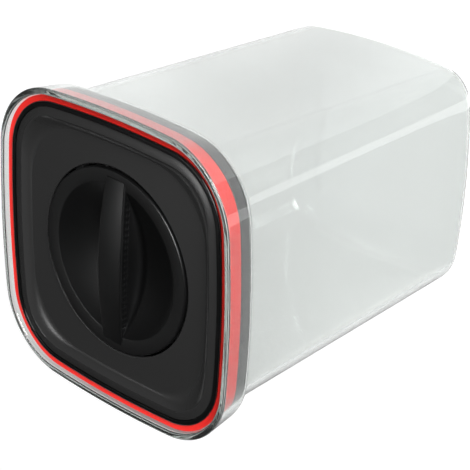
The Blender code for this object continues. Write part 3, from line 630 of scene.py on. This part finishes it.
class CONTAINER_OT_frame(bpy.types.Operator):
    """Build the lid's black frame"""

    bl_idname = "container.frame"
    bl_label = "Lid frame"

    def execute(self, context):
        square, lid, finish = settings("square", "lid", "finish")
        hub_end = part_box("lid_frame")[0].z
        band_top = lid.frame_top
        pocket = lid.frame_half - lid.band_width
        pocket_z = lid.frame_top - lid.pocket_depth
        skirt = pocket - 0.0021
        inner = skirt - WALL
        tray_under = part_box("panel_screw_1")[0].z
        tray_z = tray_under + SHEET
        cup_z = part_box("glide_ring")[0].z - FIT
        cup_under = cup_z - SHEET
        cup_radius = 0.0398
        cup_outside = cup_radius + WALL
        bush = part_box("pivot_bush")[1]
        bush_seat = bush.z - 0.0013
        hub_bore = 0.0062
        hub_recess = bush.x + FIT
        hub_radius = hub_recess + SHEET
        band_end = lid.frame_top - 0.0008
        back = lid.frame_half - 0.0005
        seal_seat = lid.seal_bottom + 0.0035
        rings = round_rings([
            (hub_bore, bush_seat, 0),
            (hub_recess, bush_seat, 0),
            (hub_recess, cup_z, 0.0003),
            (cup_radius, cup_z, CUP_FILLET),
            (cup_radius, tray_z, 0.0004),
        ], square)
        rings += lid_rings([
            (inner, tray_z, 0),
            (inner, pocket_z - WALL, 0),
            (skirt, pocket_z, 0),
            (pocket, pocket_z, 0),
            (pocket, band_top - lid.band_slope, 0.0002),
            (lid.frame_half - 0.0004, band_top, 0.0003),
            (lid.frame_half, band_top - 0.0003, 0.0002),
            (lid.frame_half, band_end, 0.0001),
            (back, band_end, 0),
            (back, seal_seat, 0),
            (skirt, seal_seat, 0),
            (skirt, tray_under, 0),
        ], square)
        rings += round_rings([
            (cup_outside, tray_under, 0),
            (cup_outside, cup_under, 0.0004),
            (hub_radius, cup_under, 0.0004),
            (hub_radius, hub_end, 0),
            (hub_bore, hub_end, 0),
        ], square)
        bm = bmesh.new()
        skin(bm, rings, closed=True)
        material = black_plastic("black_plastic", finish.black, finish.black_gloss)
        piece = add_piece("lid_frame_band", bm, "lid", "black_plastic", material, "lid_frame")
        self.cut_windows(piece, cup_under, cup_z)
        return {"FINISHED"}

    def cut_windows(self, piece, cup_under, cup_z):
        """Windows in the floor of the cup, through which the plate's hooks reach."""
        margin = 0.001
        inside, outside = 0.0360, 0.0392
        low, high = cup_under - margin, cup_z + margin
        window = [(inside, low), (outside, low), (outside, high), (inside, high)]
        bm = bmesh.new()
        for start in LUG_ANGLES:
            end = start + (LUG_SPAN + LUG_PLAY)
            swept(bm, window, (start - LUG_PLAY, start + LUG_SPAN / 2, end))
        cut_away(piece, bm)


class CONTAINER_OT_panel(bpy.types.Operator):
    """Build the recessed panel of the lid"""

    bl_idname = "container.panel"
    bl_label = "Lid panel"

    def execute(self, context):
        square, lid = settings("square", "lid")
        outer = lid.frame_half - lid.band_width - lid.groove
        land = outer - lid.crest_width
        boss_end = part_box("lid_panel")[0].z
        under = lid.panel_top - SHEET
        lip = lid.frame_top - lid.pocket_depth + FIT
        path = [
            (outer - 0.002, lip, 0),
            (outer, lip, 0),
            (outer, lid.crest_top - lid.crest_fall, 0.0002),
        ]
        for step in range(1, CREST_STEPS + 1):
            share = step / CREST_STEPS
            z = lid.crest_top - lid.crest_fall * (1 - share) ** 2
            path.append((outer - lid.crest_width * share, z, 0))
        rings = lid_rings(path, square)
        for step in range(1, COVE_STEPS + 1):
            share = step / COVE_STEPS
            half = land - lid.cove_width * share
            inset = square.rim_half - half
            corner = square.rim_corner - inset + lid.cove_corner * share
            z = lid.panel_top + (lid.crest_top - lid.panel_top) * (1 - share) ** 2
            outline = square_outline(half, corner, square.side_bow - inset, square)
            rings.append([(*point, z) for point in outline])
        rings += round_rings([
            (lid.hole_radius + 0.002, lid.panel_top, 0),
            (lid.hole_radius, lid.panel_top, 0.0004),
            (lid.hole_radius, under, 0),
        ], square)
        rings += lid_rings([(outer - 0.0037, under, 0)], square)
        bm = bmesh.new()
        skin(bm, rings, closed=True)
        for number in range(1, 5):
            low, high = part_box(f"panel_screw_{number}")
            self.add_boss(bm, (low + high) / 2, boss_end, under)
        material = bpy.data.materials["black_plastic"]
        add_piece("lid_panel_top", bm, "lid", "black_plastic", material, "lid_panel")
        return {"FINISHED"}

    def add_boss(self, bm, centre, end, under):
        """A hollow post below the panel, which a screw holds."""
        bore, post = 0.0013, 0.0032
        bore_root, post_root = under - 0.0004, under + FIT
        rings = [[(centre.x, centre.y, bore_root)]]
        for radius, z in ((bore, bore_root), (bore, end), (post, end), (post, post_root)):
            rings.append(circle(centre.x, centre.y, radius, z, BOSS_STEPS))
        rings.append([(centre.x, centre.y, post_root)])
        skin(bm, rings)


class CONTAINER_OT_dial(bpy.types.Operator):
    """Build the dished dial with its ribbed grip bar"""

    bl_idname = "container.dial"
    bl_label = "Dial"

    def execute(self, context):
        dial, finish = settings("dial", "finish")
        duller = 0.15  # the dial is rougher than the lid round it
        material = black_plastic("dial_plastic", finish.black, finish.black_gloss + duller)
        bm = bmesh.new()
        turned(bm, self.knob(dial), DIAL_STEPS)
        add_piece("dial_knob", bm, "dial", "dial_plastic", material, "dial")
        add_piece("dial_grip_bar", self.bar(dial), "dial", "dial_plastic", material)
        return {"FINISHED"}

    def knob(self, dial):
        """The knob's profile from the middle of its dish, over the ring and back to the spindle."""
        edge = dial.edge_round
        well = dial.radius - dial.ring_width
        skirt = dial.radius - DIAL_OVERHANG
        skirt_inner = skirt - WALL
        skirt_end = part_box("cam_ring")[1].z + FIT
        ring_under = dial.ring_top - SHEET
        spindle_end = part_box("dial")[0].z
        spindle_radius, bore_radius, bore_end = 0.0041, 0.0018, spindle_end + 0.004
        lip = well - edge * 0.6
        dish = [lip * step / DISH_STEPS for step in range(DISH_STEPS + 1)]
        top = [(radius, dish_height(radius, dial)) for radius in dish]
        face = rounded([
            ((lip, dish_height(lip, dial), 0), 0),
            ((well, dial.ring_top - dial.ring_fall, 0), edge * 0.7),
            ((dial.radius, dial.ring_top, 0), edge),
            ((dial.radius, ring_under, 0), 0),
        ])
        top += [(point.x, point.y) for point in face[1:]]
        under = [(skirt, ring_under), (skirt, skirt_end),
                 (skirt_inner, skirt_end), (skirt_inner, ring_under)]
        hollow = []
        for step in range(HOLLOW_STEPS - 1, 0, -1):
            radius = well * step / HOLLOW_STEPS
            hollow.append((radius, dish_height(radius, dial) - DISH_SHEET))
        spindle = [(spindle_radius, hollow[-1][1]), (spindle_radius, spindle_end),
                   (bore_radius, spindle_end), (bore_radius, bore_end), (0.0, bore_end)]
        return top + under + [point for point in hollow if point[0] > spindle_radius] + spindle

    def bar(self, dial):
        """Sections across the bar, close enough together to shape its ribs."""
        reach = dial.radius - DIAL_OVERHANG
        count = 2 * round(reach / (dial.rib_pitch / RIB_STEPS))
        turn = Matrix.Rotation(dial.bar_turn, 3, "Z")
        rings = []
        for index in range(count + 1):
            y = -reach + 2 * reach * index / count
            rings.append([turn @ Vector(point) for point in self.section(y, reach, dial)])
        bm = bmesh.new()
        skin(bm, rings)
        return bm

    def section(self, y, reach, dial):
        """The bar's outline at a place along it: rounded top, ribbed strip and hollow foot."""
        well = dial.radius - dial.ring_width
        half = dial.bar_end + (dial.bar_middle - dial.bar_end) * (1 - (y / well) ** 2)
        top = dial.ring_top + dial.bar_crown * (1 - (y / reach) ** 2)
        drop = top - dish_height(math.hypot(half, y), dial)
        height = max(0.0, min(dial.rib_height, drop - dial.bar_foot * 0.5))
        cut = 0.0
        if abs(y) < dial.rib_reach and height >= dial.rib_height / 4:
            wave = 0.5 - 0.5 * math.cos(math.tau * y / dial.rib_pitch)
            cut = dial.rib_depth * wave ** 0.7
        edge = dial.bar_round
        flank = []
        for step in range(BAR_ROUND_STEPS + 1):
            angle = math.pi / 2 * step / BAR_ROUND_STEPS
            flank.append((half - edge + edge * math.sin(angle), top - edge + edge * math.cos(angle)))
        strip_top = top - edge - 0.0002
        flank.append((half, strip_top))
        for share, depth in RIB_PROFILE:
            flank.append((half - cut * depth, strip_top - height * share))
        foot_top = strip_top - height - 0.0001
        spread = dial.bar_foot * min(1.0, drop / dial.dish_depth)
        sunk, rooted = 0.00004, 0.0005  # how far the foot and its last edge lie below the dish
        for step in range(1, BAR_FOOT_STEPS + 1):
            share = step / BAR_FOOT_STEPS
            x = half + spread * share ** 2
            surface = dish_height(math.hypot(x, y), dial) - sunk
            flank.append((x, surface + (foot_top - surface) * (1 - share) ** 2))
        x = half + spread * 1.1
        flank.append((x, dish_height(math.hypot(x, y), dial) - rooted))
        left = [(-x, y, z) for x, z in flank]
        right = [(x, y, z) for x, z in reversed(flank)]
        return left + right


class CONTAINER_OT_plate(bpy.types.Operator):
    """Build the pressure plate below the seal"""

    bl_idname = "container.plate"
    bl_label = "Pressure plate"

    def execute(self, context):
        square, canister, lid, finish = settings("square", "canister", "lid", "finish")
        low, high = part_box("pressure_plate")
        web = lid.plate_bottom + PLATE_SHEET
        rim = lid.frame_half - lid.band_width - 0.0017
        outer_top = collar_inner(lid.plate_top, square, canister) - 0.0006
        outer_bottom = collar_inner(lid.plate_bottom, square, canister) - COLLAR_AIR
        cup_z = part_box("hub_cap")[1].z + FIT
        cup_under = cup_z - PLATE_SHEET
        cup_radius = 0.0418
        cup_outside = cup_radius + WALL
        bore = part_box("cap_seal")[1].x + FIT
        hub = bore + SHEET
        rings = round_rings([
            (bore, cup_z, 0),
            (cup_radius, cup_z, CUP_FILLET),
            (cup_radius, web, 0.0004),
        ], square)
        rings += lid_rings([
            (rim, web, 0),
            (rim, lid.plate_top, 0.0003),
            (outer_top, lid.plate_top, 0.0006),
            (outer_bottom, lid.plate_bottom, 0.0006),
            (rim, lid.plate_bottom, 0),
        ], square)
        rings += round_rings([
            (cup_outside, lid.plate_bottom, 0),
            (cup_outside, cup_under, CUP_FILLET),
            (hub, cup_under, 0.0004),
            (hub, low.z, 0),
            (bore, low.z, 0),
        ], square)
        bm = bmesh.new()
        skin(bm, rings, closed=True)
        self.add_hooks(bm, cup_z - 0.0007, high.z)
        material = black_plastic("inner_plastic", finish.inner, gloss=0.45)
        add_piece("pressure_plate_disc", bm, "plate", "inner_plastic", material, "pressure_plate")
        return {"FINISHED"}

    def add_hooks(self, bm, root, top):
        """The hooks that ride on the cam ring's tracks."""
        inside, outside, tip = 0.0364, 0.0384, 0.0340
        hook = [(inside, root), (outside, root), (outside, top), (tip, top),
                (tip, top - WALL), (inside, top - WALL)]
        for start in LUG_ANGLES:
            swept(bm, hook, (start, start + LUG_SPAN / 2, start + LUG_SPAN))


class CONTAINER_OT_hidden(bpy.types.Operator):
    """Finish the pieces inside the lid"""

    bl_idname = "container.hidden"
    bl_label = "Inner pieces"

    def execute(self, context):
        finish = context.scene.container_finish
        metal = steel(finish)
        natural = natural_plastic(finish)
        red = bpy.data.materials["red_silicone"]
        inner = bpy.data.materials["inner_plastic"]
        looks = {"cam_ring": inner, "glide_ring": natural, "pivot_bush": natural,
                 "pivot_washer": metal, "pivot_screw": metal, "hub_cap": inner, "cap_seal": red}
        looks.update({f"panel_screw_{number}": metal for number in range(1, 5)})
        looks.update({f"cam_screw_{number}": metal for number in range(1, 4)})
        for name, material in looks.items():
            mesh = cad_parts[name].data
            mesh.materials.clear()
            mesh.materials.append(material)
        return {"FINISHED"}


class CONTAINER_OT_stage(bpy.types.Operator):
    """Set up the floor, the studio light and the camera"""

    bl_idname = "container.stage"
    bl_label = "Stage"

    def execute(self, context):
        stage = context.scene.container_stage
        self.floor(stage)
        self.world(stage)
        self.softbox("softbox_over_lid", (-0.42, -0.20, 0.87), (0, 0, 0.155), size=0.12, power=0.42)
        self.softbox("softbox_back", (-0.836, -0.424, 0.93), (-0.04, 0.12, 0.20),
                     size=0.50, power=0.020)
        self.softbox("softbox_key", (0.95, 0.72, 0.72), (0, 0, 0.10), size=0.80, power=38.0)
        # Painted reflections in the plastic's gloss: a bright highlight stripe along the near corner, a
        # dimmer sector to one side and a darker band on the other.
        self.card("painted_dim_side", start=-120, end=-17, strength=0.32)
        self.card("painted_highlight_stripe", start=-17, end=-1, strength=1.8)
        self.card("painted_dark_band", start=-1, end=45, strength=0.2)
        self.shade()
        self.overhead()
        self.camera(stage)
        context.scene.view_settings.view_transform = "Standard"
        context.scene.view_settings.look = "None"
        return {"FINISHED"}

    def floor(self, stage):
        """A pale floor with its own light, just below the canister's foot."""
        bm = bmesh.new()
        bmesh.ops.create_circle(bm, cap_ends=True, radius=stage.floor_size, segments=64)
        material, shader = new_material("floor", stage.floor_colour, roughness=0.6)
        add_glow(shader, (1.0, 1.0, 1.0), stage.floor_glow)
        grain = add_noise(material, scale=300.0, detail=3.0)
        add_bump(material, shader, grain.outputs["Fac"], strength=0.02, distance=0.0002)
        self.add_surface("floor", bm, material, -0.0002)

    def world(self, stage):
        """Bright at eye level and dim overhead, as in a white studio with open space above."""
        world = bpy.data.worlds.new("studio")
        world.use_nodes = True
        nodes, links = world.node_tree.nodes, world.node_tree.links
        place = nodes.new("ShaderNodeTexCoord")
        split = nodes.new("ShaderNodeSeparateXYZ")
        ramp = nodes.new("ShaderNodeValToRGB")
        set_ramp(ramp, (0.05, (stage.horizon,) * 3), (0.14, (stage.ceiling,) * 3))
        links.new(place.outputs["Generated"], split.inputs["Vector"])
        links.new(split.outputs["Z"], ramp.inputs["Fac"])
        links.new(ramp.outputs["Color"], nodes["Background"].inputs["Color"])
        bpy.context.scene.world = world

    def softbox(self, name, place, target, size, power):
        """A square area light that faces its target."""
        light = bpy.data.lights.new(name, "AREA")
        light.shape = "RECTANGLE"
        light.size = size
        light.size_y = size
        light.energy = power
        lamp = bpy.data.objects.new(name, light)
        lamp.location = place
        facing = Vector(target) - Vector(place)
        lamp.rotation_euler = facing.to_track_quat("-Z", "Y").to_euler()
        lamp.visible_camera = False
        bpy.context.scene.collection.objects.link(lamp)

    def card(self, name, start, end, strength):
        """Painted reflection: a glowing sector of the floor, between two angles, that only the
        plastic's gloss picks up.
        """
        apex = Vector((0.028, 0.0385))
        reach = 0.30
        arc_steps = 8
        bm = bmesh.new()
        points = [apex]
        for step in range(arc_steps + 1):
            angle = math.radians(start + (end - start) * step / arc_steps)
            points.append(apex + reach * Vector((math.cos(angle), math.sin(angle))))
        bm.faces.new([bm.verts.new((*point, 0.0)) for point in points])
        material, shader = new_material(name, (0.0, 0.0, 0.0), roughness=0.5)
        add_glow(shader, (1.0, 1.0, 1.0), strength)
        self.add_surface(name, bm, material, 0.0006, *HIDDEN_FROM, "transmission")

    def shade(self):
        """Painted shade: soft grey patches that dim the floor, seen only in gloss and through the clear
        plastic.
        """
        # Centre and reach of each patch, the light that its middle lets through, and where
        # between its edge (0) and its centre (1) it is fully grey.
        patches = (((-0.125, -0.235), (0.16, 0.14), 0.35, 0.8),
                   ((-0.20, -0.17), (0.26, 0.26), 0.80, 0.5),
                   ((-0.07, 0.05), (0.10, 0.10), 0.86, 0.6))
        bm = bmesh.new()
        bmesh.ops.create_grid(bm, x_segments=1, y_segments=1, size=0.5)
        material = bpy.data.materials.new("backdrop_shade")
        material.use_nodes = True
        nodes, links = material.node_tree.nodes, material.node_tree.links
        place = nodes.new("ShaderNodeTexCoord")
        filters = []
        for (x, y), reach, passed, full in patches:
            scale = (1 / reach[0], 1 / reach[1])
            spot = nodes.new("ShaderNodeMapping")
            spot.vector_type = "POINT"
            spot.inputs["Location"].default_value = (-x * scale[0], -y * scale[1], 0.0)
            spot.inputs["Scale"].default_value = (*scale, 1.0)
            ball = nodes.new("ShaderNodeTexGradient")
            ball.gradient_type = "SPHERICAL"
            fade = nodes.new("ShaderNodeMapRange")
            fade.interpolation_type = "SMOOTHSTEP"
            fade.inputs["From Max"].default_value = full
            fade.inputs["To Min"].default_value = 1.0
            fade.inputs["To Max"].default_value = passed
            links.new(place.outputs["Object"], spot.inputs["Vector"])
            links.new(spot.outputs["Vector"], ball.inputs["Vector"])
            links.new(ball.outputs["Fac"], fade.inputs["Value"])
            filters.append(fade.outputs["Result"])
        total = filters[0]
        for factor in filters[1:]:
            product = nodes.new("ShaderNodeMath")
            product.operation = "MULTIPLY"
            links.new(total, product.inputs[0])
            links.new(factor, product.inputs[1])
            total = product.outputs["Value"]
        film = nodes.new("ShaderNodeBsdfTransparent")
        links.new(total, film.inputs["Color"])
        links.new(film.outputs["BSDF"], nodes["Material Output"].inputs["Surface"])
        self.add_surface("backdrop_shade", bm, material, 0.0003, *HIDDEN_FROM)

    def overhead(self):
        """A pale ceiling seen only through the clear plastic, so that its edges stay light."""
        bm = bmesh.new()
        bmesh.ops.create_grid(bm, x_segments=1, y_segments=1, size=3.0)
        material, shader = new_material("overhead", (0.0, 0.0, 0.0), roughness=1.0)
        add_glow(shader, (0.92, 0.96, 1.0), 0.8)
        self.add_surface("overhead", bm, material, 1.8, *HIDDEN_FROM, "glossy")

    def add_surface(self, name, bm, material, height, *hidden):
        """Adds a flat surface of the studio at a height, hidden from some kinds of ray."""
        mesh = bpy.data.meshes.new(name)
        bm.to_mesh(mesh)
        bm.free()
        mesh.materials.append(material)
        piece = bpy.data.objects.new(name, mesh)
        piece.location.z = height
        for ray in hidden:
            setattr(piece, "visible_" + ray, False)
        bpy.context.scene.collection.objects.link(piece)

    def camera(self, stage):
        """The camera, with its axes and place in the container's own directions."""
        right = Vector((0.730043, 0.025629, -0.682921))
        down = Vector((0.317524, -0.897606, 0.305747))
        ahead = Vector((-0.605158, -0.440052, -0.663429))
        place = Vector((0.376651, 0.262739, 0.502725))
        data = bpy.data.cameras.new("photo_camera")
        data.lens = stage.focal
        data.sensor_width = 36.0
        data.clip_start = 0.01
        data.clip_end = 20.0
        camera = bpy.data.objects.new("photo_camera", data)
        turn = Matrix((right, -down, -ahead)).transposed()
        camera.matrix_world = Matrix.Translation(place) @ turn.to_4x4()
        bpy.context.scene.collection.objects.link(camera)
        bpy.context.scene.camera = camera


class CONTAINER_PT_panel(bpy.types.Panel):
    """The container's sizes, colours and build steps"""

    bl_idname = "CONTAINER_PT_panel"
    bl_label = "Container"
    bl_space_type = "VIEW_3D"
    bl_region_type = "UI"
    bl_category = "Container"

    def draw(self, context):
        layout = self.layout
        for group, label, _ in GROUPS:
            box = layout.box()
            box.label(text=label)
            properties = getattr(context.scene, group)
            for name in properties.bl_rna.properties.keys():
                if name not in ("rna_type", "name"):
                    box.prop(properties, name)
        for operator in OPERATORS:
            layout.operator(operator.bl_idname)


GROUPS = (
    ("container_square", "Square outline", ContainerSquare),
    ("container_canister", "Canister", ContainerCanister),
    ("container_lid", "Lid", ContainerLid),
    ("container_dial", "Dial", ContainerDial),
    ("container_finish", "Finish", ContainerFinish),
    ("container_stage", "Stage", ContainerStage),
)
OPERATORS = (CONTAINER_OT_canister, CONTAINER_OT_seal, CONTAINER_OT_frame, CONTAINER_OT_panel,
             CONTAINER_OT_dial, CONTAINER_OT_plate, CONTAINER_OT_hidden, CONTAINER_OT_stage)
CLASSES = (*(cls for _, _, cls in GROUPS), *OPERATORS, CONTAINER_PT_panel)


def register():
    for cls in CLASSES:
        bpy.utils.register_class(cls)
    for group, _, cls in GROUPS:
        setattr(bpy.types.Scene, group, PointerProperty(type=cls))


def unregister():
    for group, _, _ in GROUPS:
        delattr(bpy.types.Scene, group)
    for cls in reversed(CLASSES):
        bpy.utils.unregister_class(cls)


def main():
    register()
    bpy.ops.container.canister()
    bpy.ops.container.seal()
    bpy.ops.container.frame()
    bpy.ops.container.panel()
    bpy.ops.container.dial()
    bpy.ops.container.plate()
    bpy.ops.container.hidden()
    bpy.ops.container.stage()


if __name__ == "__main__":
    main()
